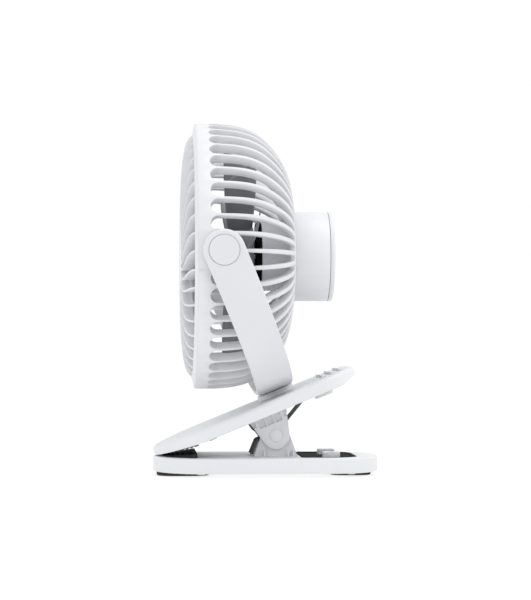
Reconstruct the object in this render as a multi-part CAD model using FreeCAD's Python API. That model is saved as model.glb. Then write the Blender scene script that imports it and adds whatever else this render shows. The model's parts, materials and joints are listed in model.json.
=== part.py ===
import FreeCAD, Part
import math
import os

# Clip-on desk fan, millimetres. X is across the fan, -Y is the side the air leaves, +Z is up.
# The origin is on the ground under the middle of the base.
# The fan is five assemblies: the base, the sprung upper jaw hinged on it, the yoke that swivels
# on the jaw, the head that tilts in the yoke, and the impeller that spins in the head.

# Placing of the assemblies
PIN_Y = 6.0
PIN_Z = 27.4
JAW_TILT = 22.3
SWIVEL_TILT = 22.8
PIVOT_Y = -33.0
PIVOT_Z = 151.6
HEAD_TILT = 0.0

# Base
BASE_FRONT = -78.4
BASE_REAR = 77.5
BASE_HALF_WIDTH = 47.0
BASE_UNDER = 2.5
BASE_TOP = 13.0
BASE_WALL = 2.4
FRONT_DEPTH = 35.0
BASE_CORNER = (41.0, 33.0)
JAW_CORNER = (26.0, 26.0)
PLATE_THICK = 1.6
FIT_GAP = 0.15

# Clamp hinge
PIN_R = 2.5
PIN_HEAD_R = 4.5
RUN_GAP = 0.06
EAR_R = 9.4
EAR_FLARE = 15.0
LOWER_EAR_IN = 13.8
LOWER_EAR_OUT = 17.0
UPPER_EAR_IN = 17.4
UPPER_EAR_OUT = 20.6
WIRE_R = 0.95
LOOP_R = 0.8
COIL_R = 5.3

# Upper jaw, in the jaw's own frame with its origin on the hinge pin
JAW_FRONT = -82.1
JAW_REAR = 67.0
JAW_UNDER = 15.7
JAW_TOP = 24.7
JAW_WALL = 2.2

# Yoke and swivel, in the yoke's own frame with its origin on the tilt pivot
YOKE_INNER = 96.5
YOKE_OUTER = 100.5
ARM_HALF_WIDTH = 13.8
ARM_FOOT_HALF_WIDTH = 13.0
YOKE_BEND = 14.0
EDGE_ROUND = 2.2
SEAM_GAP = 0.8
COLLAR_R = 12.3
BOLT_R = 3.0
CAP_R = 10.0

# Head, in its own frame with its origin on the tilt pivot
RING_R = 92.4
RING_FRONT = -16.4
RING_REAR = -1.7
RING_WALL = 2.2
RIB_COUNT = 48
RIB_WIDTH = 1.6
RIB_REAR_WIDTH = 3.0
RIB_DEPTH = 6.8
POD_R = 31.2
POD_WALL = 1.8
POD_FRONT = 52.4
POD_SEAM = 75.9
POD_REAR = 79.3
FIN_COUNT = 43
FIN_TWIST = 30.0
FIN_THICK = 1.2
GRILLE_R = 84.0
BADGE_R = 24.0
CUP_R = 24.0
MOTOR_R = 21.8
SHAFT_R = 1.5
BLADE_COUNT = 7
BLADE_TIP_R = 73.0
HUB_R = 20.5
BUTTON_R = 7.0
BUTTON_Z = 6.0
SOCKET_Z = -15.0

JAW_FRAME = FreeCAD.Placement(
    FreeCAD.Vector(0, PIN_Y, PIN_Z), FreeCAD.Rotation(FreeCAD.Vector(1, 0, 0), JAW_TILT)
)
YOKE_FRAME = FreeCAD.Placement(
    FreeCAD.Vector(0, PIVOT_Y, PIVOT_Z), FreeCAD.Rotation(FreeCAD.Vector(1, 0, 0), SWIVEL_TILT)
)
HEAD_FRAME = FreeCAD.Placement(
    FreeCAD.Vector(0, PIVOT_Y, PIVOT_Z), FreeCAD.Rotation(FreeCAD.Vector(1, 0, 0), HEAD_TILT)
)
ROOT_FRAME = FreeCAD.Placement()
X_AXIS = FreeCAD.Vector(1, 0, 0)
Y_AXIS = FreeCAD.Vector(0, 1, 0)
Z_AXIS = FreeCAD.Vector(0, 0, 1)
CENTRE = FreeCAD.Vector(0, 0, 0)


# Shared shapes

def point(x, y, z):
    return FreeCAD.Vector(x, y, z)


def save(name, solids, frame):
    shape = solids if isinstance(solids, Part.Shape) else Part.makeCompound(solids)
    placed = shape.copy()
    placed.Placement = frame.multiply(placed.Placement)
    placed.exportStep("parts/" + name + ".step")


def block(x0, x1, y0, y1, z0, z1):
    return Part.makeBox(x1 - x0, y1 - y0, z1 - z0, point(x0, y0, z0))


def rod(start, end, radius):
    along = end.sub(start)
    return Part.makeCylinder(radius, along.Length, start, along)


def tube(start, end, outer, inner):
    return rod(start, end, outer).cut(rod(start, end, inner))


def polygon_face(points):
    return Part.Face(Part.makePolygon(points + [points[0]]))


def turned(profile):
    """A solid turned about the head's axis from (radius, y) corners."""
    face = polygon_face([point(r, y, 0) for r, y in profile])
    return face.revolve(CENTRE, Y_AXIS, 360)


def around_y(shape, degrees):
    copy = shape.copy()
    copy.rotate(CENTRE, Y_AXIS, degrees)
    return copy


def both_sides(shape):
    """The shape and its copy on the other side of the fan."""
    return [shape, shape.mirror(CENTRE, X_AXIS)]


def plan_face(inset, z, front, rear, corner):
    """Outline of a jaw seen from above: a half ellipse in front, round corners behind."""
    half = BASE_HALF_WIDTH - inset
    wide = corner[0] - inset
    deep = corner[1] - inset
    front_y = front + FRONT_DEPTH
    corner_y = rear - corner[1]
    rear_y = rear - inset
    ellipse = Part.Ellipse(point(0, front_y, z), half, FRONT_DEPTH - inset)
    nose = Part.Arc(ellipse, math.pi, 2 * math.pi).toShape()
    right_ellipse = Part.Ellipse(point(half - wide, corner_y, z), wide, deep)
    left_ellipse = Part.Ellipse(point(wide - half, corner_y, z), wide, deep)
    edges = [
        nose,
        Part.makeLine(point(half, front_y, z), point(half, corner_y, z)),
        Part.Arc(right_ellipse, 0, math.pi / 2).toShape(),
        Part.makeLine(point(half - wide, rear_y, z), point(wide - half, rear_y, z)),
        Part.Arc(left_ellipse, math.pi / 2, math.pi).toShape(),
        Part.makeLine(point(-half, corner_y, z), point(-half, front_y, z)),
    ]
    return Part.Face(Part.Wire(Part.__sortEdges__(edges)))


def base_solid(inset, z0, z1):
    face = plan_face(inset, z0, BASE_FRONT, BASE_REAR, BASE_CORNER)
    return face.extrude(point(0, 0, z1 - z0))


def jaw_solid(inset, z0, z1, front, rear):
    face = plan_face(inset, z0, front, rear, JAW_CORNER)
    return face.extrude(point(0, 0, z1 - z0))


def rim_edges(shape, z):
    """The edges that lie wholly at one height."""
    found = []
    for edge in shape.Edges:
        box = edge.BoundBox
        if abs(box.ZMin - z) < 0.01 and abs(box.ZMax - z) < 0.01:
            found.append(edge)
    return found


def rounded_box(x0, x1, y0, y1, z0, z1, corner):
    """A box with its four upright edges rounded."""
    box = block(x0, x1, y0, y1, z0, z1)
    upright = [e for e in box.Edges if abs(e.BoundBox.ZLength - (z1 - z0)) < 0.01]
    return box.makeFillet(corner, upright)


def screw(head_at, into, head_r, head_length, shank_r, shank_length):
    """A pan head screw whose head sits at head_at and whose shank runs along into."""
    seat = head_at.add(point(into.x, into.y, into.z).multiply(head_length))
    tip = seat.add(point(into.x, into.y, into.z).multiply(shank_length))
    return rod(head_at, seat, head_r).fuse(rod(seat, tip, shank_r)).removeSplitter()


# Base

SCREW_SPOTS = [(-34, -46), (34, -46), (-31, 57), (31, 57)]
MAT_FRONT = 22.6
MAT_REAR = 62.0
MAT_HALF_WIDTH = 38.0
MAT_DEPTH = 1.2
MAT_FRONT_CORNER = 4.0
MAT_REAR_CORNER = 18.0
BUMPER_X = 20.0
BUMPER_FRONT = 38.0
BUMPER_REAR = 50.0
BUMPER_TOP = 16.2


def ear_face(x, foot_half, foot_z, flare_up):
    """Side outline of a hinge ear: a round end on the pin and straight sides to a foot."""
    side = 1 if flare_up else -1
    rise = math.radians(EAR_FLARE)
    touch_y = EAR_R * math.cos(rise)
    touch_z = -side * EAR_R * math.sin(rise)
    arc = Part.Arc(
        point(x, -touch_y, touch_z), point(x, 0, -side * EAR_R), point(x, touch_y, touch_z)
    ).toShape()
    lines = Part.makePolygon(
        [
            point(x, touch_y, touch_z),
            point(x, foot_half, foot_z),
            point(x, -foot_half, foot_z),
            point(x, -touch_y, touch_z),
        ]
    )
    return Part.Face(Part.Wire([arc] + lines.Edges))


def mat_outline(inset, z0, z1):
    """The mat's own shape: nearly square in front, with large round corners behind."""
    half = MAT_HALF_WIDTH - inset
    front = MAT_FRONT + inset
    rear = MAT_REAR - inset
    shape = block(-half, half, front, rear, z0, z1)
    for y, corner in ((front, MAT_FRONT_CORNER - inset), (rear, MAT_REAR_CORNER - inset)):
        upright = []
        for edge in shape.Edges:
            box = edge.BoundBox
            if abs(box.ZLength - (z1 - z0)) < 0.01 and abs(box.YMin - y) < 0.5:
                upright.append(edge)
        shape = shape.makeFillet(corner, upright)
    return shape


def make_base_cover():
    body = base_solid(0, BASE_UNDER, BASE_TOP)
    body = body.makeFillet(1.4, rim_edges(body, BASE_TOP))
    body = body.makeFillet(0.7, rim_edges(body, BASE_UNDER))
    hollow = base_solid(BASE_WALL, BASE_UNDER - 1, BASE_TOP - BASE_WALL)
    body = body.cut(hollow)
    body = body.cut(mat_outline(0, BASE_TOP - MAT_DEPTH, BASE_TOP + 5))
    for x, y in SCREW_SPOTS:
        post = rod(point(x, y, BASE_UNDER + PLATE_THICK), point(x, y, BASE_TOP - 2), 3.2)
        body = body.fuse(post).cut(rod(point(x, y, 2), point(x, y, BASE_TOP - 2.5), 1.25))
    foot_half = 15.4
    foot_z = BASE_TOP - 1.0 - PIN_Z
    for x in (-LOWER_EAR_OUT, LOWER_EAR_IN):
        ear = ear_face(x, foot_half, foot_z, False)
        ear = ear.extrude(point(LOWER_EAR_OUT - LOWER_EAR_IN, 0, 0))
        ear.translate(point(0, PIN_Y, PIN_Z))
        body = body.fuse(ear)
    for side in (-1, 1):
        for y in (PIN_Y - 8.5, PIN_Y + 7.8, PIN_Y + 11.5):
            near = side * LOWER_EAR_OUT
            far = side * (LOWER_EAR_OUT + 3.4)
            rib = block(min(near, far), max(near, far), y, y + 1.3, BASE_TOP - 1, PIN_Z - EAR_R - 0.8)
            body = body.fuse(rib)
    bore = rod(point(-30, PIN_Y, PIN_Z), point(30, PIN_Y, PIN_Z), PIN_R + RUN_GAP)
    return body.cut(bore).removeSplitter()


def make_base_plate():
    inset = BASE_WALL + FIT_GAP
    top = BASE_UNDER + PLATE_THICK
    plate = base_solid(inset, BASE_UNDER, top)
    for x, y in SCREW_SPOTS:
        plate = plate.cut(rod(point(x, y, 0), point(x, y, 20), 1.6))
    return plate


def make_base_screws():
    low = BASE_UNDER - 1.2
    return [screw(point(x, y, low), Z_AXIS, 2.6, 1.2, 1.2, 7.0) for x, y in SCREW_SPOTS]


def make_front_foot():
    foot = rounded_box(-26, 26, -76, -40, 0, BASE_UNDER, 12)
    return foot.makeFillet(0.9, rim_edges(foot, 0))


def make_rear_foot():
    foot = rounded_box(-24, 24, 44.0, 72.0, 0, BASE_UNDER, 9)
    return foot.makeFillet(0.9, rim_edges(foot, 0))


def make_lower_pad():
    """Ribbed rubber wedge under the tip of the jaw."""
    low = BASE_TOP
    side = [(-73.0, low), (-73.0, low + 0.5), (-50.0, low + 2.6), (-48.6, low + 2.6), (-48.6, low)]
    wedge = polygon_face([point(-40, y, z) for y, z in side]).extrude(point(80, 0, 0))
    inside = base_solid(6, low - 1, low + 9)
    pad = wedge.common(inside)
    for y in range(-68, -50, 3):
        groove_z = low + 0.2 + (y + 73.0) * 2.1 / 23.0
        pad = pad.cut(block(-40, 40, y, y + 0.8, groove_z, groove_z + 3))
    return pad


def make_base_mat():
    """Dark mat that lies in the recess behind the hinge, with a thin raised lip round it."""
    floor = BASE_TOP - MAT_DEPTH
    mat = mat_outline(0.2, floor, BASE_TOP + 0.1).cut(mat_outline(2.2, floor + 0.7, BASE_TOP + 2))
    for x in (-BUMPER_X, BUMPER_X):
        pocket = block(x - 5.2, x + 5.2, BUMPER_FRONT - 0.2, BUMPER_REAR + 0.2, 0, 30)
        mat = mat.cut(pocket)
    return mat


def make_base_bumpers():
    floor = BASE_TOP - MAT_DEPTH
    bumper = rounded_box(
        BUMPER_X - 5, BUMPER_X + 5, BUMPER_FRONT, BUMPER_REAR, floor, BUMPER_TOP, 1.5
    )
    return both_sides(bumper.makeFillet(0.6, rim_edges(bumper, BUMPER_TOP)))


# Clamp hinge

def make_hinge_pin():
    shank_from = point(-UPPER_EAR_OUT - 1.6, PIN_Y, PIN_Z)
    head_from = point(UPPER_EAR_OUT - 1.5, PIN_Y, PIN_Z)
    head_to = point(UPPER_EAR_OUT + 0.1, PIN_Y, PIN_Z)
    pin = rod(shank_from, head_from, PIN_R).fuse(rod(head_from, head_to, PIN_HEAD_R))
    groove = tube(
        point(-UPPER_EAR_OUT - 1.1, PIN_Y, PIN_Z), point(-UPPER_EAR_OUT - 0.4, PIN_Y, PIN_Z), 4, 1.9
    )
    return pin.cut(groove).removeSplitter()


def make_pin_clip():
    ring = tube(
        point(-UPPER_EAR_OUT - 1.05, PIN_Y, PIN_Z), point(-UPPER_EAR_OUT - 0.45, PIN_Y, PIN_Z), 4.4, 1.9
    )
    mouth = block(-30, -15, PIN_Y - 1.4, PIN_Y + 1.4, PIN_Z - 6, PIN_Z)
    return ring.cut(mouth)


def make_hinge_sleeve():
    end = LOWER_EAR_IN - 0.2
    return tube(point(-end, PIN_Y, PIN_Z), point(end, PIN_Y, PIN_Z), 3.9, PIN_R + RUN_GAP)


def wire_path(points, radius):
    """Round wire through a few points, with a ball at each bend."""
    wire = rod(points[0], points[1], radius)
    for start, end in zip(points[1:], points[2:]):
        wire = wire.fuse(Part.makeSphere(radius, start)).fuse(rod(start, end, radius))
    return wire


def make_torsion_spring():
    """Two close coils on the sleeve, each with one arm up to the jaw and one down to the base."""
    turns = 4
    pitch = 1.85 * WIRE_R
    coil = None
    for turn in range(turns):
        ring = Part.makeTorus(COIL_R, WIRE_R, point(5.0 + turn * pitch, PIN_Y, PIN_Z), X_AXIS)
        coil = ring if coil is None else coil.fuse(ring)
    inner_x = 5.0
    outer_x = 5.0 + (turns - 1) * pitch
    down_arm = wire_path(
        [
            point(outer_x, PIN_Y - 1.0, PIN_Z - COIL_R),
            point(outer_x, PIN_Y - 12.4, PIN_Z - 3.0),
            point(outer_x, PIN_Y - 16.6, BASE_TOP + WIRE_R + 0.1),
        ],
        WIRE_R,
    )
    up_arm = wire_path(
        [
            point(inner_x, PIN_Y - 1.0, PIN_Z + COIL_R),
            point(inner_x, PIN_Y - 14.0, PIN_Z + 2.6),
            point(inner_x, PIN_Y - 18.0, PIN_Z + 8.4),
        ],
        WIRE_R,
    )
    return both_sides(coil.fuse(down_arm).fuse(up_arm).removeSplitter())


def make_spring_loop():
    """The bridge of the spring, which bears on the underside of the handle."""
    x = 7.6
    path = [
        point(x, COIL_R + 2.6, 1.0),
        point(x, COIL_R + 6.0, 6.0),
        point(x, 27.0, JAW_UNDER - LOOP_R - 0.4),
        point(-x, 27.0, JAW_UNDER - LOOP_R - 0.4),
        point(-x, COIL_R + 6.0, 6.0),
        point(-x, COIL_R + 2.6, 1.0),
    ]
    return wire_path(path, LOOP_R).removeSplitter()


# Upper jaw

JAW_SCREW_SPOTS = [(-32, -41), (32, -41), (-30, 38), (30, 38)]
RIDGE_FRONT = 44.5
RIDGE_PITCH = 6.3
NOSE_START = -46.0
NOSE_RISE = 0.085
TAIL_START = 54.0
TAIL_RISE = 0.26
COLLAR_U = 12.0
POCKET_DEPTH = 1.9
EAR_POCKETS = [(-11.6, 2.6, 9.8), (-6.0, 4.9, 8.3), (0.0, 4.9, 8.3), (6.0, 4.9, 8.3), (11.6, 2.6, 9.8)]


def jaw_nose_under(y):
    """Height of the jaw's underside where it eases up towards the tip."""
    return JAW_UNDER - 0.01 + (NOSE_START - y) * NOSE_RISE


def jaw_side_solid():
    """Side outline of the jaw: straight, with the underside rising to the tip and the tail."""
    lift = (JAW_REAR - 2.6 - TAIL_START) * TAIL_RISE
    low = JAW_UNDER - 0.01
    tail = Part.Arc(
        point(-60, JAW_REAR - 2.6, low + lift),
        point(-60, JAW_REAR - 0.7, low + lift + 1.1),
        point(-60, JAW_REAR, low + lift + 3.2),
    ).toShape()
    lines = Part.makePolygon(
        [
            point(-60, JAW_REAR, low + lift + 3.2),
            point(-60, JAW_REAR, JAW_TOP + 1),
            point(-60, JAW_FRONT - 1, JAW_TOP + 1),
            point(-60, JAW_FRONT - 1, jaw_nose_under(JAW_FRONT - 1)),
            point(-60, NOSE_START, low),
            point(-60, TAIL_START, low),
            point(-60, JAW_REAR - 2.6, low + lift),
        ]
    )
    return Part.Face(Part.Wire([tail] + lines.Edges)).extrude(point(120, 0, 0))


def make_upper_jaw():
    body = jaw_solid(0, JAW_UNDER, JAW_TOP, JAW_FRONT, JAW_REAR)
    body = body.makeFillet(3.0, rim_edges(body, JAW_TOP))
    body = body.makeFillet(1.0, rim_edges(body, JAW_UNDER))
    hollow_top = JAW_TOP - JAW_WALL
    hollow = jaw_solid(JAW_WALL + 1.0, JAW_UNDER - 1, hollow_top, JAW_FRONT, JAW_REAR - 13.5)
    body = body.common(jaw_side_solid()).cut(hollow)
    for row in range(3):
        start = RIDGE_FRONT + row * RIDGE_PITCH
        ridge = polygon_face(
            [
                point(-26, start, JAW_TOP - 0.5),
                point(-26, start, JAW_TOP + 1.7),
                point(-26, start + 5.4, JAW_TOP - 0.5),
            ]
        )
        body = body.fuse(ridge.extrude(point(52, 0, 0)))
    for x, y in JAW_SCREW_SPOTS:
        post = rod(point(x, y, JAW_UNDER + PLATE_THICK), point(x, y, JAW_TOP - 1), 3.2)
        body = body.fuse(post).cut(rod(point(x, y, JAW_UNDER - 1), point(x, y, JAW_TOP - 3), 1.25))
    collar_hole = rod(point(0, COLLAR_U, JAW_UNDER), point(0, COLLAR_U, JAW_TOP + 5), 7.4)
    return body.cut(collar_hole).removeSplitter()


def make_jaw_plate():
    inset = JAW_WALL + 1.0 + FIT_GAP
    top = JAW_UNDER + PLATE_THICK
    plate = jaw_solid(inset, JAW_UNDER, top, JAW_FRONT + 10, JAW_REAR - 13.5)
    plate = plate.common(jaw_side_solid())
    for x, y in JAW_SCREW_SPOTS:
        plate = plate.cut(rod(point(x, y, 0), point(x, y, 40), 1.6))
    flare = math.radians(EAR_FLARE)
    foot_half = (EAR_R + (JAW_UNDER + 0.8) * math.sin(flare)) / math.cos(flare)
    for x in (-UPPER_EAR_OUT, UPPER_EAR_IN):
        ear = ear_face(x, foot_half, JAW_UNDER + 0.8, True)
        plate = plate.fuse(ear.extrude(point(UPPER_EAR_OUT - UPPER_EAR_IN, 0, 0)))
    for centre, width, low in EAR_POCKETS:
        pocket = block(
            UPPER_EAR_OUT - POCKET_DEPTH, UPPER_EAR_OUT + 1,
            centre - width / 2, centre + width / 2,
            low, JAW_UNDER - 0.3,
        )
        plate = plate.cut(Part.makeCompound(both_sides(pocket)))
    plate = plate.cut(rod(point(-30, 0, 0), point(30, 0, 0), PIN_R + RUN_GAP))
    plate = plate.cut(rod(point(UPPER_EAR_OUT - 1.6, 0, 0), point(30, 0, 0), PIN_HEAD_R + 0.1))
    return plate.removeSplitter()


def make_jaw_screws():
    low = JAW_UNDER - 1.2
    return [screw(point(x, y, low), Z_AXIS, 2.6, 1.2, 1.2, 4.8) for x, y in JAW_SCREW_SPOTS]


def make_upper_pad():
    """Ribbed rubber pad on the underside of the jaw tip."""
    front, rear = -73.0, -52.0
    front_top = jaw_nose_under(front)
    rear_top = jaw_nose_under(rear)
    side = [(front, front_top - 1.5), (front, front_top), (rear, rear_top), (rear, rear_top - 1.5)]
    strip = polygon_face([point(-40, y, z) for y, z in side]).extrude(point(80, 0, 0))
    inside = jaw_solid(7, JAW_UNDER - 3, JAW_UNDER + 5, JAW_FRONT, JAW_REAR)
    pad = strip.common(inside)
    for y in range(-71, -53, 3):
        groove_top = jaw_nose_under(y) - 1.0
        pad = pad.cut(block(-41, 41, y, y + 1.2, groove_top - 2, groove_top))
    return pad


def make_jaw_bumpers():
    bumper = rounded_box(15.0, 25.0, 35.1, 47.8, JAW_UNDER - 3.2, JAW_UNDER, 1.5)
    return both_sides(bumper.makeFillet(0.6, rim_edges(bumper, JAW_UNDER - 3.2)))


# Yoke and swivel

SWIVEL_SEAM = -YOKE_OUTER
COLLAR_TOP = SWIVEL_SEAM - SEAM_GAP


def jaw_top_in_yoke_frame():
    """The jaw's upper face, as a plane point and normal in the yoke's frame."""
    to_yoke = YOKE_FRAME.inverse().multiply(JAW_FRAME)
    return to_yoke.multVec(point(0, COLLAR_U, JAW_TOP))


def make_swivel_collar():
    """Flared round collar that stands on the jaw and carries the yoke."""
    low = jaw_top_in_yoke_frame().z
    height = COLLAR_TOP - low
    flare = Part.makeCone(COLLAR_R + 1.6, COLLAR_R + 0.7, height + 1.2, point(0, 0, low - 1.2))
    spigot = rod(point(0, 0, low - 3.0), point(0, 0, low), 7.0)
    collar = flare.fuse(spigot)
    bolt_way = rod(point(0, 0, low - 10), point(0, 0, COLLAR_TOP + 5), BOLT_R + RUN_GAP)
    back = to_frame(block(-60, 60, -90, 90, JAW_TOP - 3, JAW_TOP + 0.02), JAW_FRAME, YOKE_FRAME)
    hole = to_frame(
        rod(point(0, COLLAR_U, JAW_UNDER), point(0, COLLAR_U, JAW_TOP + 5), 7.3), JAW_FRAME, YOKE_FRAME
    )
    return collar.cut(back.cut(hole)).cut(bolt_way).removeSplitter()


def to_frame(shape, source, target):
    """The shape, made in the source frame, as it is seen from the target frame."""
    moved = shape.copy()
    moved.Placement = target.inverse().multiply(source).multiply(moved.Placement)
    return moved


def make_swivel_washer():
    return tube(point(0, 0, COLLAR_TOP + 0.1), point(0, 0, SWIVEL_SEAM - 0.1), 9.0, BOLT_R + 0.3)


def make_swivel_bolt():
    head = rod(point(0, 0, -YOKE_INNER - 2.2), point(0, 0, -YOKE_INNER - 0.3), 6.0)
    shank = rod(point(0, 0, jaw_top_in_yoke_frame().z - 6.0), point(0, 0, -YOKE_INNER - 2.0), BOLT_R)
    slot = block(-7, 7, -0.5, 0.5, -YOKE_INNER - 1.0, -YOKE_INNER + 1)
    return head.fuse(shank).cut(slot).removeSplitter()


def make_swivel_nut():
    low = jaw_top_in_yoke_frame().z - 5.6
    corners = [point(5 * math.cos(a * math.pi / 3), 5 * math.sin(a * math.pi / 3), low) for a in range(6)]
    nut = polygon_face(corners).extrude(point(0, 0, 2.4))
    return nut.cut(rod(point(0, 0, low - 1), point(0, 0, low + 5), BOLT_R))


def outer_rim(yoke):
    """The long edges of the strap's outer face."""
    rim = []
    for edge in yoke.Edges:
        middle = edge.valueAt((edge.FirstParameter + edge.LastParameter) / 2)
        reach = math.hypot(max(0.0, abs(middle.x) - YOKE_BEND), min(0.0, middle.z + YOKE_BEND))
        on_face = abs(reach - (YOKE_OUTER - YOKE_BEND)) < 0.05
        if on_face and edge.BoundBox.DiagonalLength > 10:
            rim.append(edge)
    return rim


def make_yoke():
    """A wide strap bent to a U: straight arms, large round corners and a flat foot."""
    top = ARM_HALF_WIDTH
    half = ARM_HALF_WIDTH
    bend = YOKE_BEND

    def corner(radius, side):
        diagonal = radius * math.sqrt(0.5)
        return Part.Arc(
            point(side * (bend + radius), -half, -bend),
            point(side * (bend + diagonal), -half, -bend - diagonal),
            point(side * bend, -half, -bend - radius),
        ).toShape()

    edges = []
    for x in (YOKE_INNER, YOKE_OUTER):
        edges.append(corner(x - bend, -1))
        edges.append(corner(x - bend, 1))
        edges.append(Part.makeLine(point(-bend, -half, -x), point(bend, -half, -x)))
        for side in (-1, 1):
            edges.append(Part.makeLine(point(side * x, -half, -bend), point(side * x, -half, top)))
    for side in (-1, 1):
        inner_end = point(side * YOKE_INNER, -half, top)
        outer_end = point(side * YOKE_OUTER, -half, top)
        edges.append(Part.makeLine(inner_end, outer_end))
    strap = Part.Face(Part.Wire(Part.__sortEdges__(edges))).extrude(point(0, 2 * half, 0))
    far = -YOKE_OUTER - 5
    foot = ARM_FOOT_HALF_WIDTH
    sides = Part.makePolygon(
        [point(-120, -half, 0), point(-120, -foot, far), point(-120, foot, far), point(-120, half, 0)]
    )
    cap = Part.Arc(point(-120, half, 0), point(-120, 0, half), point(-120, -half, 0)).toShape()
    outline = Part.Face(Part.Wire(sides.Edges + [cap])).extrude(point(240, 0, 0))
    yoke = strap.common(outline)
    yoke = yoke.makeFillet(EDGE_ROUND, outer_rim(yoke))
    yoke = yoke.cut(rod(point(0, 0, SWIVEL_SEAM - 5), point(0, 0, -90), BOLT_R + RUN_GAP))
    yoke = yoke.cut(rod(point(0, 0, -YOKE_INNER - 2.3), point(0, 0, -80), 6.3))
    for side in (-1, 1):
        outer = point(side * (YOKE_OUTER + 1), 0, 0)
        yoke = yoke.cut(rod(point(side * (YOKE_OUTER - 2.2), 0, 0), outer, CAP_R + 0.2))
        yoke = yoke.cut(rod(point(side * 90, 0, 0), outer, PIN_R + RUN_GAP))
    return yoke.removeSplitter()


def make_pivot_caps():
    cap = rod(point(YOKE_OUTER - 1.0, 0, 0), point(YOKE_OUTER + 0.4, 0, 0), CAP_R)
    crown = [e for e in cap.Edges if abs(e.BoundBox.XMin - YOKE_OUTER - 0.4) < 0.01]
    cap = cap.makeFillet(0.3, crown)
    skirt = tube(point(YOKE_OUTER - 2.1, 0, 0), point(YOKE_OUTER - 0.9, 0, 0), CAP_R, CAP_R - 1.5)
    return both_sides(cap.fuse(skirt).removeSplitter())


# Head

DOME = [(92.3, -6.0), (92.2, -1.7), (91.0, 11.0), (87.7, 21.9), (82.9, 29.8), (74.9, 37.6),
        (66.0, 43.9), (54.0, 48.7), (40.0, 51.4)]
RIB_STATIONS = 9
FIN_STATIONS = 9
SLOT_END_Y = -3.3
SKIRT_REAR = RING_FRONT + 4.4
BEZEL_FRONT = RING_FRONT - 0.8
FIN_STEP = 1.5
PAD_HALF = 12.5
PAD_X = 95.3
PLATE_REAR = POD_FRONT
PLATE_FRONT = PLATE_REAR - 2.6
CUP_FRONT = 29.6


def rib_section(curve, share):
    """One cut across a rib: deep at the ring and shallower at the middle."""
    first, last = curve.FirstParameter, curve.LastParameter
    at = first + share * (last - first)
    outer = curve.value(at)
    along = curve.tangent(at)[0]
    inward = point(-along.y, along.x, 0)
    if inward.x > 0:
        inward = inward.multiply(-1)
    if share > 0.5 and inward.y > 0:
        inward = inward.multiply(-1)
    depth = RIB_DEPTH - 2.6 * share
    inner = outer.add(inward.multiply(depth))
    half = (RIB_WIDTH + (RIB_REAR_WIDTH - RIB_WIDTH) * min(1.0, share / 0.45)) / 2
    edge = 0.25 * half
    inner_half = 0.8 * half
    shoulder = outer.add(point(inner.x - outer.x, inner.y - outer.y, 0).multiply(0.1))
    corners = [
        point(outer.x, outer.y, edge - half),
        point(outer.x, outer.y, half - edge),
        point(shoulder.x, shoulder.y, half),
        point(inner.x, inner.y, inner_half),
        point(inner.x, inner.y, -inner_half),
        point(shoulder.x, shoulder.y, -half),
    ]
    return Part.makePolygon(corners + [corners[0]])


def make_rib():
    curve = Part.BSplineCurve()
    curve.interpolate([point(r, y, 0) for r, y in DOME])
    sections = [rib_section(curve, i / (RIB_STATIONS - 1)) for i in range(RIB_STATIONS)]
    return Part.makeLoft(sections, True, False)


def make_rear_cage():
    """One moulding: the ring, the rear ribs, the motor plate with its cup, the pivot bosses."""
    inner = RING_R - RIB_DEPTH
    wall = RING_R - RING_WALL
    ring = turned(
        [(RING_R, RING_FRONT), (RING_R, RING_REAR), (inner, RING_REAR), (inner, RING_REAR - 8.5),
         (wall, RING_REAR - 8.5), (wall, RING_FRONT)]
    )
    step = 360.0 / RIB_COUNT
    slot_half = 0.5 * (math.radians(step) * RING_R - RIB_WIDTH)
    near = 80.0
    far = 95.0
    slot_start = point(near, SLOT_END_Y, 0)
    slot_end = Part.makeCone(
        slot_half * near / RING_R, slot_half * far / RING_R, far - near, slot_start, X_AXIS
    )
    slots = []
    for i in range(RIB_COUNT):
        angle = (i + 0.5) * step
        if abs(math.cos(math.radians(angle))) < math.cos(math.radians(step)):
            slots.append(around_y(slot_end, angle))
    ring = ring.cut(Part.makeCompound(slots))
    plate = turned(
        [
            (46.0, 50.3), (31.0, PLATE_REAR), (6.0, PLATE_REAR), (6.0, PLATE_FRONT),
            (CUP_R - 1.8, PLATE_FRONT), (CUP_R - 1.8, CUP_FRONT), (CUP_R, CUP_FRONT),
            (CUP_R, PLATE_FRONT), (30.0, PLATE_FRONT), (46.0, 47.0),
        ]
    )
    rib = make_rib()
    ribs = [around_y(rib, i * step) for i in range(RIB_COUNT)]
    cage = ring.multiFuse([plate] + ribs)
    for side in (-1, 1):
        boss = rod(point(side * (inner + 0.2), 0, 0), point(side * PAD_X, 0, 0), PAD_HALF)
        x_low = min(side * (inner + 0.2), side * (RING_R + 0.8))
        x_high = max(side * (inner + 0.2), side * (RING_R + 0.8))
        pad = block(x_low, x_high, RING_FRONT, 0, -PAD_HALF, PAD_HALF)
        cage = cage.fuse(boss.fuse(pad))
        cage = cage.cut(rod(point(side * 80, 0, 0), point(side * 97, 0, 0), PIN_R))
    skirt_room = tube(point(0, RING_FRONT - 1, 0), point(0, SKIRT_REAR + 0.4, 0), wall, wall - 9)
    cage = cage.cut(skirt_room)
    for i in range(3):
        cage = cage.cut(screw_hole(12.0, i * 120 + 90))
        cage = cage.cut(screw_hole(27.0, i * 120 + 30))
    return cage.removeSplitter()


def screw_hole(radius, angle):
    hole = rod(point(radius, PLATE_FRONT - 0.2, 0), point(radius, PLATE_REAR + 3, 0), 1.2)
    return around_y(hole, angle)


def front_height(radius):
    """How far the grille stands forward of its rim, at a distance from the axis."""
    return FIN_STEP + 8.0 * math.sqrt(max(0.0, 1.0 - (radius / GRILLE_R) ** 4.5))


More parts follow.
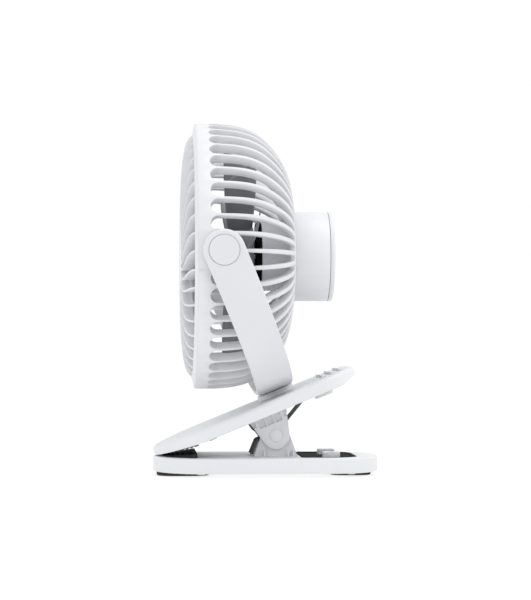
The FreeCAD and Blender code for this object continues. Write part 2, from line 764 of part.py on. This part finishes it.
def fin_section(radius):
    angle = math.radians(FIN_TWIST) * (radius / GRILLE_R - 1.0)
    slope = math.radians(FIN_TWIST) * radius / GRILLE_R
    radial = point(math.cos(angle), 0, math.sin(angle))
    across = point(-math.sin(angle), 0, math.cos(angle))
    along = radial.add(across.multiply(slope))
    normal = point(-along.z, 0, along.x)
    normal.normalize()
    centre = point(math.cos(angle), 0, math.sin(angle)).multiply(radius)
    front = BEZEL_FRONT - front_height(radius)
    depth = min(7.0, BEZEL_FRONT + 0.5 - front)
    half = FIN_THICK / 2
    corners = []
    for y, side in ((front, -1), (front, 1), (front + depth, 1), (front + depth, -1)):
        offset = point(normal.x, 0, normal.z).multiply(side * half)
        corners.append(centre.add(offset).add(point(0, y, 0)))
    return Part.makePolygon(corners + [corners[0]])


def make_front_grille():
    """The bezel, the curved fins and the middle disc, moulded in one piece."""
    skirt = RING_R - RING_WALL - 0.2
    bezel = turned(
        [
            (GRILLE_R - 1, BEZEL_FRONT - FIN_STEP), (GRILLE_R + 1, BEZEL_FRONT - FIN_STEP),
            (91.8, BEZEL_FRONT), (92.2, BEZEL_FRONT + 0.4), (92.2, RING_FRONT),
            (skirt, RING_FRONT), (skirt, SKIRT_REAR), (skirt - 1.6, SKIRT_REAR),
            (skirt - 1.6, RING_FRONT + 1.2), (GRILLE_R - 1, RING_FRONT + 1.2),
        ]
    )
    disc = turned(
        [
            (0, -25.6), (BADGE_R - 2, -25.6), (BADGE_R - 2, -26.8),
            (BADGE_R, -26.8), (BADGE_R, -20.6), (0, -22.6),
        ]
    )
    inner_r = BADGE_R - 0.8
    sections = []
    for i in range(FIN_STATIONS):
        share = (i / (FIN_STATIONS - 1)) ** 0.6
        sections.append(fin_section(inner_r + (GRILLE_R - inner_r) * share))
    fin = Part.makeLoft(sections, True, False)
    fins = [around_y(fin, i * 360.0 / FIN_COUNT) for i in range(FIN_COUNT)]
    return bezel.multiFuse([disc] + fins).removeSplitter()


def make_front_badge():
    return rod(point(0, -26.6, 0), point(0, -25.6, 0), BADGE_R - 2.2)


def make_pivot_bolts():
    floor = YOKE_OUTER - 2.2
    head = rod(point(floor + 0.1, 0, 0), point(floor + 1.0, 0, 0), 4.2)
    shank = rod(point(PAD_X - 9.0, 0, 0), point(floor + 0.1, 0, 0), PIN_R)
    return both_sides(head.fuse(shank).removeSplitter())


def make_pivot_washers():
    return both_sides(tube(point(PAD_X, 0, 0), point(YOKE_INNER - 0.2, 0, 0), 8.0, PIN_R))


def make_pod_shell():
    inner = POD_R - POD_WALL
    shell = turned(
        [
            (POD_R, POD_FRONT), (POD_R, POD_SEAM), (inner, POD_SEAM),
            (inner, POD_FRONT + 1.8), (16.0, POD_FRONT + 1.8), (16.0, POD_FRONT),
        ]
    )
    return shell.cut(Part.makeCompound([screw_hole(27.0, i * 120 + 30) for i in range(3)]))


def make_pod_screws():
    head_at = point(27.0, POD_FRONT + 2.8, 0)
    one = screw(head_at, point(0, -1, 0), 2.0, 1.0, 1.2, 4.2)
    return [around_y(one, i * 120 + 30) for i in range(3)]


def make_motor_screws():
    head_at = point(12.0, PLATE_REAR + 1.1, 0)
    one = screw(head_at, point(0, -1, 0), 2.2, 1.1, 1.2, 3.5)
    return [around_y(one, i * 120 + 90) for i in range(3)]


LED_SPOTS = [(-6.0, -6.0), (-2.0, -6.0), (2.0, -6.0), (6.0, -6.0)]
CAP_FRONT = POD_SEAM + 0.4
FLANGE_REAR = CAP_FRONT - 0.4
FLANGE_FRONT = FLANGE_REAR - 1.6


def make_rear_cap():
    disc = rod(point(0, CAP_FRONT, 0), point(0, POD_REAR, 0), POD_R)
    rear_rim = [e for e in disc.Edges if abs(e.BoundBox.YMin - POD_REAR) < 0.01]
    disc = disc.makeFillet(1.1, rear_rim)
    rim_r = POD_R - POD_WALL - FIT_GAP
    lip = tube(point(0, POD_SEAM - 4, 0), point(0, CAP_FRONT + 0.2, 0), rim_r, rim_r - 1.4)
    cap = disc.fuse(lip)
    cap = cap.cut(rod(point(0, 70, BUTTON_Z), point(0, 90, BUTTON_Z), BUTTON_R + 0.2))
    for x, z in LED_SPOTS:
        cap = cap.cut(rod(point(x, 70, z), point(x, 90, z), 0.8))
    cap = cap.cut(rounded_slot(4.75, 1.85, 74.0, 90.0))
    return cap.removeSplitter()


def rounded_slot(half_width, half_height, y0, y1):
    """A slot with round ends, centred on the charging socket."""
    flat = half_width - half_height
    shape = block(-flat, flat, y0, y1, SOCKET_Z - half_height, SOCKET_Z + half_height)
    for x in (-flat, flat):
        shape = shape.fuse(rod(point(x, y0, SOCKET_Z), point(x, y1, SOCKET_Z), half_height))
    return shape


def make_power_button():
    face = rod(point(0, FLANGE_FRONT, BUTTON_Z), point(0, POD_REAR + 0.8, BUTTON_Z), BUTTON_R)
    rim = [e for e in face.Edges if abs(e.BoundBox.YMin - POD_REAR - 0.8) < 0.01]
    face = face.makeFillet(0.5, rim)
    flange = rod(point(0, FLANGE_FRONT, BUTTON_Z), point(0, FLANGE_REAR, BUTTON_Z), BUTTON_R + 1.2)
    return face.fuse(flange).removeSplitter()


BOARD_FRONT = 69.2
BOARD_REAR = 70.8


def make_button_spring():
    """Wave washer between the board and the button."""
    return tube(point(0, BOARD_REAR, BUTTON_Z), point(0, FLANGE_FRONT, BUTTON_Z), 5.4, 4.6)


def make_button_switch():
    body = block(-2.6, 2.6, BOARD_REAR, BOARD_REAR + 1.2, BUTTON_Z - 2.6, BUTTON_Z + 2.6)
    return body.fuse(rod(point(0, BOARD_REAR + 1, BUTTON_Z), point(0, FLANGE_FRONT - 1.3, BUTTON_Z), 1.4))


def make_control_board():
    board = rod(point(0, BOARD_FRONT, 0), point(0, BOARD_REAR, 0), 26.0)
    return board.cut(block(-30, 30, BOARD_FRONT - 1, BOARD_REAR + 1, 20, 30))


def make_usb_socket():
    shell = rounded_slot(4.5, 1.6, BOARD_REAR, POD_REAR - 0.3)
    mouth = rounded_slot(4.2, 1.3, BOARD_REAR + 1.0, POD_REAR + 1)
    tongue = block(-3.3, 3.3, BOARD_REAR + 0.5, POD_REAR - 1.2, SOCKET_Z - 0.35, SOCKET_Z + 0.35)
    return shell.cut(mouth).fuse(tongue).removeSplitter()


def make_led_lenses():
    low = BOARD_REAR + 1.2
    return [rod(point(x, low, z), point(x, POD_REAR + 0.1, z), 0.8) for x, z in LED_SPOTS]


def make_led_chips():
    chips = []
    for x, z in LED_SPOTS:
        chips.append(block(x - 0.8, x + 0.8, BOARD_REAR, BOARD_REAR + 0.9, z - 0.5, z + 0.5))
    return chips


def make_battery():
    cell = block(-22, 22, POD_FRONT + 3.8, BOARD_FRONT - 0.6, -17, 17)
    return cell.makeFillet(2.5, [e for e in cell.Edges if e.BoundBox.ZLength > 30])


# Motor and impeller

CAN_REAR = PLATE_FRONT - 0.1
PLATE_Y = 25.8


def make_motor_endplate():
    """Black front bell of the motor."""
    inner = MOTOR_R + 0.1
    return turned(
        [(23.4, PLATE_Y), (23.4, 29.3), (inner, 29.3), (inner, 27.4), (3.2, 27.4), (3.2, PLATE_Y)]
    )


def make_motor_can():
    can = turned(
        [
            (MOTOR_R, 27.5), (MOTOR_R, CAN_REAR), (3.2, CAN_REAR), (3.2, CAN_REAR - 1.4),
            (MOTOR_R - 1.2, CAN_REAR - 1.4), (MOTOR_R - 1.2, 27.5),
        ]
    )
    hole = rod(point(12, CAN_REAR - 2, 0), point(12, 60, 0), 1.2)
    return can.cut(Part.makeCompound([around_y(hole, i * 120 + 90) for i in range(3)]))


def make_motor_magnets():
    outer = MOTOR_R - 1.3
    ring = tube(point(0, 30, 0), point(0, 46, 0), outer, outer - 3.0)
    for angle in (45, 135):
        ring = ring.cut(around_y(block(-30, 30, 29, 47, -4, 4), angle))
    return ring.Solids


def make_bearing(y0, y1):
    return tube(point(0, y0, 0), point(0, y1, 0), 3.2, SHAFT_R + 0.04)


def make_motor_shaft():
    return rod(point(0, 9.1, 0), point(0, CAN_REAR + 0.4, 0), SHAFT_R)


def make_motor_armature():
    core = tube(point(0, 31, 0), point(0, 45, 0), 16.6, SHAFT_R)
    for i in range(5):
        core = core.cut(around_y(block(9, 20, 30, 46, -0.8, 0.8), i * 72))
    return core


def blade_section(radius):
    """A thin arched strip at one distance from the shaft, pitched less towards the tip."""
    share = (radius - HUB_R) / (BLADE_TIP_R - HUB_R)
    chord = 25.0 + 23.0 * share
    pitch = math.radians(44.0 - 18.0 * share)
    arch = 0.09 * chord
    half = 0.8
    middle = 14.6
    lean = 0.12 * share * radius

    def at(along, off):
        y = middle + along * math.sin(pitch) + off * math.cos(pitch)
        z = lean + along * math.cos(pitch) - off * math.sin(pitch)
        return point(radius, y, z)

    ends = chord / 2
    upper = Part.Arc(at(-ends, half * 0.5), at(0, arch + half), at(ends, half * 0.5)).toShape()
    lower = Part.Arc(at(ends, -half * 0.5), at(0, arch - half), at(-ends, -half * 0.5)).toShape()
    nose = Part.makeLine(at(ends, half * 0.5), at(ends, -half * 0.5))
    tail = Part.makeLine(at(-ends, -half * 0.5), at(-ends, half * 0.5))
    return Part.Wire([upper, nose, lower, tail])


def make_impeller():
    """The hub cup with its blades."""
    hub = turned(
        [
            (0, 3.6), (9, 4.0), (16, 6.0), (19.5, 9.0), (HUB_R, 13.0), (HUB_R, 24.0),
            (HUB_R - 1.6, 24.0), (HUB_R - 1.6, 12.5), (16.5, 8.6), (4.0, 7.6),
            (4.0, 20.0), (SHAFT_R, 20.0), (SHAFT_R, 9.0), (0, 9.0),
        ]
    )
    reach = [HUB_R - 1.2, 34.0, 50.0, 64.0, BLADE_TIP_R + 6]
    blade = Part.makeLoft([blade_section(r) for r in reach], True, False)
    blade = blade.common(rod(point(0, -5, 0), point(0, 30, 0), BLADE_TIP_R))
    blade = blade.cut(rod(point(0, -10, 0), point(0, 40, 0), HUB_R - 0.8))
    blades = [around_y(blade, i * 360.0 / BLADE_COUNT) for i in range(BLADE_COUNT)]
    return hub.multiFuse(blades).removeSplitter()


def main():
    os.makedirs("parts", exist_ok=True)
    save("base_cover", make_base_cover(), ROOT_FRAME)
    save("base_plate", make_base_plate(), ROOT_FRAME)
    save("base_screws", make_base_screws(), ROOT_FRAME)
    save("front_foot", make_front_foot(), ROOT_FRAME)
    save("rear_foot", make_rear_foot(), ROOT_FRAME)
    save("lower_pad", make_lower_pad(), ROOT_FRAME)
    save("base_mat", make_base_mat(), ROOT_FRAME)
    save("base_bumpers", make_base_bumpers(), ROOT_FRAME)
    save("hinge_pin", make_hinge_pin(), ROOT_FRAME)
    save("pin_clip", make_pin_clip(), ROOT_FRAME)
    save("hinge_sleeve", make_hinge_sleeve(), ROOT_FRAME)
    save("torsion_spring", make_torsion_spring(), ROOT_FRAME)
    save("spring_loop", make_spring_loop(), JAW_FRAME)
    save("upper_jaw", make_upper_jaw(), JAW_FRAME)
    save("jaw_plate", make_jaw_plate(), JAW_FRAME)
    save("jaw_screws", make_jaw_screws(), JAW_FRAME)
    save("upper_pad", make_upper_pad(), JAW_FRAME)
    save("jaw_bumpers", make_jaw_bumpers(), JAW_FRAME)
    save("swivel_collar", make_swivel_collar(), YOKE_FRAME)
    save("swivel_washer", make_swivel_washer(), YOKE_FRAME)
    save("swivel_bolt", make_swivel_bolt(), YOKE_FRAME)
    save("swivel_nut", make_swivel_nut(), YOKE_FRAME)
    save("yoke", make_yoke(), YOKE_FRAME)
    save("pivot_caps", make_pivot_caps(), YOKE_FRAME)
    save("rear_cage", make_rear_cage(), HEAD_FRAME)
    save("front_grille", make_front_grille(), HEAD_FRAME)
    save("front_badge", make_front_badge(), HEAD_FRAME)
    save("pivot_bolts", make_pivot_bolts(), HEAD_FRAME)
    save("pivot_washers", make_pivot_washers(), HEAD_FRAME)
    save("pod_shell", make_pod_shell(), HEAD_FRAME)
    save("pod_screws", make_pod_screws(), HEAD_FRAME)
    save("motor_screws", make_motor_screws(), HEAD_FRAME)
    save("rear_cap", make_rear_cap(), HEAD_FRAME)
    save("power_button", make_power_button(), HEAD_FRAME)
    save("button_spring", make_button_spring(), HEAD_FRAME)
    save("button_switch", make_button_switch(), HEAD_FRAME)
    save("control_board", make_control_board(), HEAD_FRAME)
    save("usb_socket", make_usb_socket(), HEAD_FRAME)
    save("led_lenses", make_led_lenses(), HEAD_FRAME)
    save("led_chips", make_led_chips(), HEAD_FRAME)
    save("battery", make_battery(), HEAD_FRAME)
    save("motor_endplate", make_motor_endplate(), HEAD_FRAME)
    save("motor_can", make_motor_can(), HEAD_FRAME)
    save("motor_magnets", make_motor_magnets(), HEAD_FRAME)
    save("front_bearing", make_bearing(PLATE_Y, 29.8), HEAD_FRAME)
    save("rear_bearing", make_bearing(CAN_REAR - 3.5, CAN_REAR), HEAD_FRAME)
    save("motor_shaft", make_motor_shaft(), HEAD_FRAME)
    save("motor_armature", make_motor_armature(), HEAD_FRAME)
    save("impeller", make_impeller(), HEAD_FRAME)


main()
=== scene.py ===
import json
import math

import bpy
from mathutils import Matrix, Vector


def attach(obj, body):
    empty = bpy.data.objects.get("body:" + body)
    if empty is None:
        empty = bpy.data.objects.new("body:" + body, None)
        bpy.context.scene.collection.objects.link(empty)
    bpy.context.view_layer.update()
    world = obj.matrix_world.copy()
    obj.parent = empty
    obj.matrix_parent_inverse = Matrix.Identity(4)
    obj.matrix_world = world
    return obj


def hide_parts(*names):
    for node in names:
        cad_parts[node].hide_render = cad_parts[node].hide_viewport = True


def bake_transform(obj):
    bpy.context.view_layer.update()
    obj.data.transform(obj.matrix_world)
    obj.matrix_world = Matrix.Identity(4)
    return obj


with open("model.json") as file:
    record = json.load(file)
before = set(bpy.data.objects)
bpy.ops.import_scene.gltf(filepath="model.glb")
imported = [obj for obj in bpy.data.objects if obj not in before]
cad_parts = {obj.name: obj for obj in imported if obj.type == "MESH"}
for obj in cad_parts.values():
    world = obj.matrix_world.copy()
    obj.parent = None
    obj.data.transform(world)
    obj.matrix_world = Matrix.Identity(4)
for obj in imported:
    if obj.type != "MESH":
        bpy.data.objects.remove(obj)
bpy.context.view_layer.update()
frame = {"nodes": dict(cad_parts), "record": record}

# Where the camera stands: level with the jaw, square to the fan's side and a little to its front.
CAMERA_DISTANCE = 1.40
CAMERA_AZIMUTH = math.radians(86.4)
CAMERA_HEIGHT = 0.090
CAMERA_LENS = 120.0
TARGET = Vector((0.0, 0.0, 0.1212))

# Places and sizes of the clamp hinge, the same as in the CAD model.
PIN_Y = 0.0060
PIN_Z = 0.0274
JAW_TILT = math.radians(22.3)
JAW_UNDER = 0.0157
BASE_TOP = 0.0130
WIRE_R = 0.00095
LOOP_R = 0.0008
COIL_R = 0.0053

# The coils: their wire starts outside, at the leg on the base, and winds inwards.
COIL_OUTER_X = 0.01027
COIL_INNER_X = 0.0050
COIL_TURNS = 2.5
COIL_STEPS = 72
LEG_BEND = 0.002
FOOT_AHEAD = 0.0166
KNEE_AHEAD = 0.0124
KNEE_DROP = 0.0030
FOOT_GAP = 0.0001
ELBOW_AHEAD = 0.0140
ELBOW_RISE = 0.0026
TIP_AHEAD = 0.0180
TIP_RISE = 0.0084

# The bridge, in the jaw's own frame.
BRIDGE_X = 0.0076
BRIDGE_GAP = 0.0004
BRIDGE_BEND = 0.0022
BRIDGE_REAR_Y = 0.0270
BRIDGE_END = (COIL_R + 0.0026, 0.0010)
BRIDGE_KNEE = (COIL_R + 0.0060, 0.0060)

# Rounding of hard edges on the moulded parts.
EDGE_ROUND = 0.00022
SMOOTH_ANGLE = math.radians(28)
WELD_DISTANCE = 0.000005
FLAT_ANGLE = math.radians(0.6)
ROUND_ANGLE = math.radians(38)

# The pale floor glows a little, so that it stays as light as the background.
FLOOR_HALF = 12.0
FLOOR_DROP = 0.0004
FLOOR_GLOW = 0.74


# Materials: each is a node network, so colour, roughness and relief all vary over the surface.

class Nodes:
    """A small helper that adds and joins shader nodes."""

    def __init__(self, name):
        self.material = bpy.data.materials.new(name)
        self.material.use_nodes = True
        self.tree = self.material.node_tree
        self.shader = self.tree.nodes["Principled BSDF"]
        self.coords = self.tree.nodes.new("ShaderNodeTexCoord").outputs["Object"]

    def add(self, kind, **settings):
        node = self.tree.nodes.new("ShaderNode" + kind)
        for key, value in settings.items():
            setattr(node, key, value)
        return node

    def join(self, output, socket):
        self.tree.links.new(output, socket)

    def noise(self, scale, detail=3.0, roughness=0.5, stretch=(1, 1, 1)):
        mapping = self.add("Mapping")
        mapping.inputs["Scale"].default_value = stretch
        self.join(self.coords, mapping.inputs["Vector"])
        noise = self.add("TexNoise")
        noise.inputs["Scale"].default_value = scale
        noise.inputs["Detail"].default_value = detail
        noise.inputs["Roughness"].default_value = roughness
        self.join(mapping.outputs["Vector"], noise.inputs["Vector"])
        return noise.outputs["Fac"]

    def spread(self, value, low, high, start=0.3, end=0.7):
        """The value, taken from start..end to low..high."""
        ramp = self.add("MapRange")
        ramp.inputs["From Min"].default_value = start
        ramp.inputs["From Max"].default_value = end
        ramp.inputs["To Min"].default_value = low
        ramp.inputs["To Max"].default_value = high
        self.join(value, ramp.inputs["Value"])
        return ramp.outputs["Result"]

    def mix(self, factor, first, second):
        mix = self.add("Mix", data_type="RGBA")
        self.join(factor, mix.inputs["Factor"])
        for socket, colour in ((mix.inputs["A"], first), (mix.inputs["B"], second)):
            if hasattr(colour, "is_linked"):
                self.join(colour, socket)
            else:
                socket.default_value = (*colour, 1.0)
        return mix.outputs["Result"]

    def relief(self, height, strength, distance):
        bump = self.add("Bump")
        bump.inputs["Strength"].default_value = strength
        bump.inputs["Distance"].default_value = distance
        self.join(height, bump.inputs["Height"])
        self.join(bump.outputs["Normal"], self.shader.inputs["Normal"])


def shade(colour, factor):
    return tuple(min(1.0, c * factor) for c in colour)


def plastic(name, colour, rough=0.42, grain=1400.0, depth=0.00003, coat=0.0):
    """Moulded plastic: a fine spark texture over slow, barely visible clouds of colour."""
    n = Nodes(name)
    cloud = n.spread(n.noise(22.0, 2.0), 0.0, 1.0)
    n.join(n.mix(cloud, shade(colour, 0.98), shade(colour, 1.015)), n.shader.inputs["Base Color"])
    fine = n.noise(grain, 2.0, 0.6)
    n.join(n.spread(fine, rough - 0.05, rough + 0.06), n.shader.inputs["Roughness"])
    n.relief(fine, 0.35, depth)
    n.shader.inputs["Specular IOR Level"].default_value = 0.42
    n.shader.inputs["Coat Weight"].default_value = coat
    n.shader.inputs["Coat Roughness"].default_value = 0.12
    return n.material


def rubber(name, colour, rough=0.75, gloss=0.3):
    """Matt rubber, or another dull surface with dust in its grain."""
    n = Nodes(name)
    dust = n.spread(n.noise(160.0, 5.0, 0.7), 0.0, 1.0, 0.45, 0.75)
    n.join(n.mix(dust, colour, shade(colour, 1.7)), n.shader.inputs["Base Color"])
    fine = n.noise(900.0, 3.0, 0.6)
    n.join(n.spread(fine, rough - 0.08, rough + 0.08), n.shader.inputs["Roughness"])
    n.relief(fine, 0.5, 0.00006)
    n.shader.inputs["Specular IOR Level"].default_value = gloss
    return n.material


def metal(name, colour, rough=0.32, stretch=(1, 1, 14)):
    """Drawn or turned metal with fine brushing and slight staining."""
    n = Nodes(name)
    stain = n.spread(n.noise(60.0, 4.0), 0.0, 1.0)
    n.join(n.mix(stain, shade(colour, 0.86), colour), n.shader.inputs["Base Color"])
    lines = n.noise(700.0, 3.0, 0.5, stretch)
    n.join(n.spread(lines, rough - 0.1, rough + 0.12), n.shader.inputs["Roughness"])
    n.relief(lines, 0.25, 0.00002)
    n.shader.inputs["Metallic"].default_value = 1.0
    return n.material


WHITE = (0.745, 0.755, 0.775)
MATERIALS = {
    "white_shell": plastic("shell_plastic", WHITE, 0.40),
    "white_inner": plastic("inner_plastic", (0.74, 0.75, 0.775), 0.48),
    "cage_white": plastic("cage_plastic", (0.735, 0.745, 0.765), 0.44),
    "arm_white": plastic("arm_plastic", (0.70, 0.71, 0.735), 0.40),
    "badge_white": plastic("polished_plastic", WHITE, 0.18, coat=0.4),
    "blade_grey": plastic("blade_plastic", (0.19, 0.19, 0.205), 0.34),
    "black_rubber": rubber("foot_rubber", (0.018, 0.018, 0.02)),
    "grey_rubber": rubber("pad_rubber", (0.15, 0.15, 0.155), 0.8, 0.1),
    # Painted shade: this near-black mat on the base's rear half stands in for the shade inside the
    # base's rear well. Its low gloss keeps it dark at a grazing view.
    "dark_mat": rubber("painted_shade_mat", (0.022, 0.022, 0.024), 0.8, 0.04),
    "bumper_grey": rubber("bumper_silicone", (0.74, 0.745, 0.77), 0.5),
    "pin_cap": plastic("pin_paint", (0.78, 0.785, 0.80), 0.35),
    "screw_steel": metal("zinc_steel", (0.62, 0.63, 0.65)),
    "spring_steel": metal("black_spring_steel", (0.125, 0.127, 0.134), 0.38),
    "nylon": plastic("nylon", (0.45, 0.45, 0.43), 0.5),
    "black_plastic": plastic("black_plastic", (0.02, 0.02, 0.021), 0.4),
    "circuit_board": plastic("solder_mask", (0.02, 0.14, 0.05), 0.3, 300.0, coat=0.3),
    "lens": plastic("lamp_lens", (0.62, 0.70, 0.74), 0.15, coat=0.5),
    "led_chip": plastic("lamp_chip", (0.75, 0.66, 0.25), 0.35),
    "battery_wrap": plastic("cell_wrap", (0.42, 0.43, 0.45), 0.28, 200.0),
    "motor_black": rubber("motor_paint", (0.004, 0.004, 0.004), 0.8, 0.03),
    "motor_steel": metal("plated_steel", (0.55, 0.55, 0.56), 0.28),
    "magnet": rubber("sintered_magnet", (0.06, 0.06, 0.062), 0.6),
    "bronze": metal("sintered_bronze", (0.50, 0.30, 0.14), 0.45, (1, 1, 1)),
    "armature": metal("lamination_stack", (0.32, 0.20, 0.12), 0.45, (1, 30, 1)),
}


def dress_cad_nodes():
    """Every CAD node gets its slot's material and smooth shading with crisp edges."""
    slots = {part["node"]: part["material_slot"] for part in frame["record"]["subparts"]}
    for name, node in frame["nodes"].items():
        node.data.materials.clear()
        node.data.materials.append(MATERIALS[slots[name]])
        node.data.polygons.foreach_set("use_smooth", [True] * len(node.data.polygons))
        node.data.set_sharp_from_angle(angle=SMOOTH_ANGLE)
        for polygon in node.data.polygons:
            polygon.material_index = 0


# upper_jaw isn't here, because rounding makes jagged marks at its grip ridges.
SOFT_NODES = [
    "jaw_plate", "base_cover", "yoke", "swivel_collar", "pod_shell", "rear_cap",
    "power_button", "rear_cage", "front_grille", "front_badge", "impeller", "base_bumpers",
    "jaw_bumpers", "front_foot", "rear_foot", "base_mat", "hinge_pin",
]


def soften_edges():
    """A hair of rounding on the hard corners of the listed parts."""
    for name in SOFT_NODES:
        node = frame["nodes"][name]
        weld = node.modifiers.new("weld", "WELD")
        weld.merge_threshold = WELD_DISTANCE
        flat = node.modifiers.new("flat", "DECIMATE")
        flat.decimate_type = "DISSOLVE"
        flat.angle_limit = FLAT_ANGLE
        bevel = node.modifiers.new("bevel", "BEVEL")
        bevel.width = EDGE_ROUND
        bevel.segments = 2
        bevel.limit_method = "ANGLE"
        bevel.angle_limit = ROUND_ANGLE
        bevel.harden_normals = True


# Springs: bent and coiled round wire

def tube_mesh(name, path, radius, sides=14):
    """A closed round tube along a list of points."""
    vertices = []
    faces = []
    side = Vector((1, 0, 0))
    for i, spot in enumerate(path):
        ahead = path[min(i + 1, len(path) - 1)]
        behind = path[max(i - 1, 0)]
        along = (ahead - behind).normalized()
        side = side - along * side.dot(along)
        if side.length < 0.001:
            side = along.orthogonal()
        side.normalize()
        up = along.cross(side)
        for k in range(sides):
            turn = 2 * math.pi * k / sides
            vertices.append(spot + (side * math.cos(turn) + up * math.sin(turn)) * radius)
    for i in range(len(path) - 1):
        for k in range(sides):
            a = i * sides + k
            b = i * sides + (k + 1) % sides
            faces.append((a, b, b + sides, a + sides))
    faces.append(tuple(reversed(range(sides))))
    last = (len(path) - 1) * sides
    faces.append(tuple(range(last, last + sides)))
    mesh = bpy.data.meshes.new(name)
    mesh.from_pydata(vertices, [], faces)
    mesh.polygons.foreach_set("use_smooth", [True] * len(mesh.polygons))
    mesh.set_sharp_from_angle(angle=math.radians(50))
    mesh.materials.append(MATERIALS["spring_steel"])
    wire = bpy.data.objects.new(name, mesh)
    bpy.context.scene.collection.objects.link(wire)
    return wire


def round_corners(corners, radius, steps=6):
    """The corners joined by straight runs, each bend eased over the given radius."""
    path = [corners[0]]
    for before, corner, after in zip(corners, corners[1:], corners[2:]):
        into = (before - corner).normalized() * radius
        out = (after - corner).normalized() * radius
        for i in range(steps + 1):
            t = i / steps
            path.append(corner + into * (1 - t) ** 2 + out * t ** 2)
    path.append(corners[-1])
    return path


def make_torsion_springs():
    """A coil each side of the middle, with one leg down on the base and one up to the jaw."""
    for side in (-1, 1):
        outer = side * COIL_OUTER_X
        inner = side * COIL_INNER_X
        down = [
            Vector((outer, PIN_Y - FOOT_AHEAD, BASE_TOP + WIRE_R + FOOT_GAP)),
            Vector((outer, PIN_Y - KNEE_AHEAD, PIN_Z - KNEE_DROP)),
            Vector((outer, PIN_Y, PIN_Z - COIL_R)),
        ]
        path = round_corners(down, LEG_BEND)[:-1]
        for i in range(COIL_STEPS + 1):
            share = i / COIL_STEPS
            turn = -math.pi / 2 + share * 2 * math.pi * COIL_TURNS
            x = outer + (inner - outer) * share
            path.append(Vector((x, PIN_Y + COIL_R * math.cos(turn), PIN_Z + COIL_R * math.sin(turn))))
        up = [
            path[-1],
            Vector((inner, PIN_Y - ELBOW_AHEAD, PIN_Z + ELBOW_RISE)),
            Vector((inner, PIN_Y - TIP_AHEAD, PIN_Z + TIP_RISE)),
        ]
        path += round_corners(up, LEG_BEND)[1:]
        spring = tube_mesh("spring_coil_" + ("right" if side > 0 else "left"), path, WIRE_R)
        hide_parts("torsion_spring")
        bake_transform(spring)


def jaw_point(x, y, z):
    """A point of the jaw's own frame, which is tilted back about the hinge pin."""
    along = math.cos(JAW_TILT)
    rise = math.sin(JAW_TILT)
    return Vector((x, PIN_Y + y * along - z * rise, PIN_Z + y * rise + z * along))


def make_spring_bridge():
    """The wire behind the pin that pushes the handle up. Its ends stop short of the coils."""
    high = JAW_UNDER - LOOP_R - BRIDGE_GAP
    corners = [
        jaw_point(BRIDGE_X, *BRIDGE_END),
        jaw_point(BRIDGE_X, *BRIDGE_KNEE),
        jaw_point(BRIDGE_X, BRIDGE_REAR_Y, high),
        jaw_point(-BRIDGE_X, BRIDGE_REAR_Y, high),
        jaw_point(-BRIDGE_X, *BRIDGE_KNEE),
        jaw_point(-BRIDGE_X, *BRIDGE_END),
    ]
    bridge = tube_mesh("spring_bridge", round_corners(corners, BRIDGE_BEND), LOOP_R)
    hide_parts("spring_loop")
    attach(bridge, "jaw")


# Camera, floor and light

def make_camera():
    data = bpy.data.cameras.new("camera")
    data.lens = CAMERA_LENS
    data.sensor_width = 36.0
    data.clip_start = 0.01
    camera = bpy.data.objects.new("camera", data)
    bpy.context.scene.collection.objects.link(camera)
    camera.location = (
        CAMERA_DISTANCE * math.sin(CAMERA_AZIMUTH),
        -CAMERA_DISTANCE * math.cos(CAMERA_AZIMUTH),
        CAMERA_HEIGHT,
    )
    look = TARGET - Vector(camera.location)
    camera.rotation_euler = look.to_track_quat("-Z", "Y").to_euler()
    bpy.context.scene.camera = camera


def area_light(name, place, aim, size, power):
    data = bpy.data.lights.new(name, "AREA")
    data.shape = "DISK"
    data.size = size
    data.energy = power
    light = bpy.data.objects.new(name, data)
    bpy.context.scene.collection.objects.link(light)
    light.location = place
    light.rotation_euler = (Vector(aim) - Vector(place)).to_track_quat("-Z", "Y").to_euler()


def make_floor():
    n = Nodes("studio_floor")
    cloud = n.spread(n.noise(3.0, 2.0), 0.0, 1.0)
    n.join(n.mix(cloud, (0.30, 0.30, 0.30), (0.31, 0.31, 0.31)), n.shader.inputs["Base Color"])
    n.shader.inputs["Emission Color"].default_value = (1.0, 1.0, 1.0, 1.0)
    n.shader.inputs["Emission Strength"].default_value = FLOOR_GLOW
    n.shader.inputs["Roughness"].default_value = 0.95
    n.shader.inputs["Specular IOR Level"].default_value = 0.0
    half = FLOOR_HALF
    mesh = bpy.data.meshes.new("floor")
    corners = [(-half, -half, 0), (half, -half, 0), (half, half, 0), (-half, half, 0)]
    mesh.from_pydata(corners, [], [(0, 1, 2, 3)])
    floor = bpy.data.objects.new("floor", mesh)
    floor.location.z = -FLOOR_DROP
    mesh.materials.append(n.material)
    bpy.context.scene.collection.objects.link(floor)


def make_studio():
    world = bpy.data.worlds.new("studio")
    world.use_nodes = True
    background = world.node_tree.nodes["Background"]
    background.inputs["Color"].default_value = (1.0, 1.0, 1.0, 1.0)
    background.inputs["Strength"].default_value = 1.0
    bpy.context.scene.world = world
    bpy.context.scene.view_settings.view_transform = "Standard"
    area_light("top_light", place=(0.1, 0.5, 1.6), aim=(0, 0, 0.12), size=1.2, power=7.0)
    area_light("side_light", place=(1.0, -0.7, 0.6), aim=(0, -0.06, 0.12), size=0.6, power=0.9)


dress_cad_nodes()
soften_edges()
make_torsion_springs()
make_spring_bridge()
make_camera()
make_floor()
make_studio()
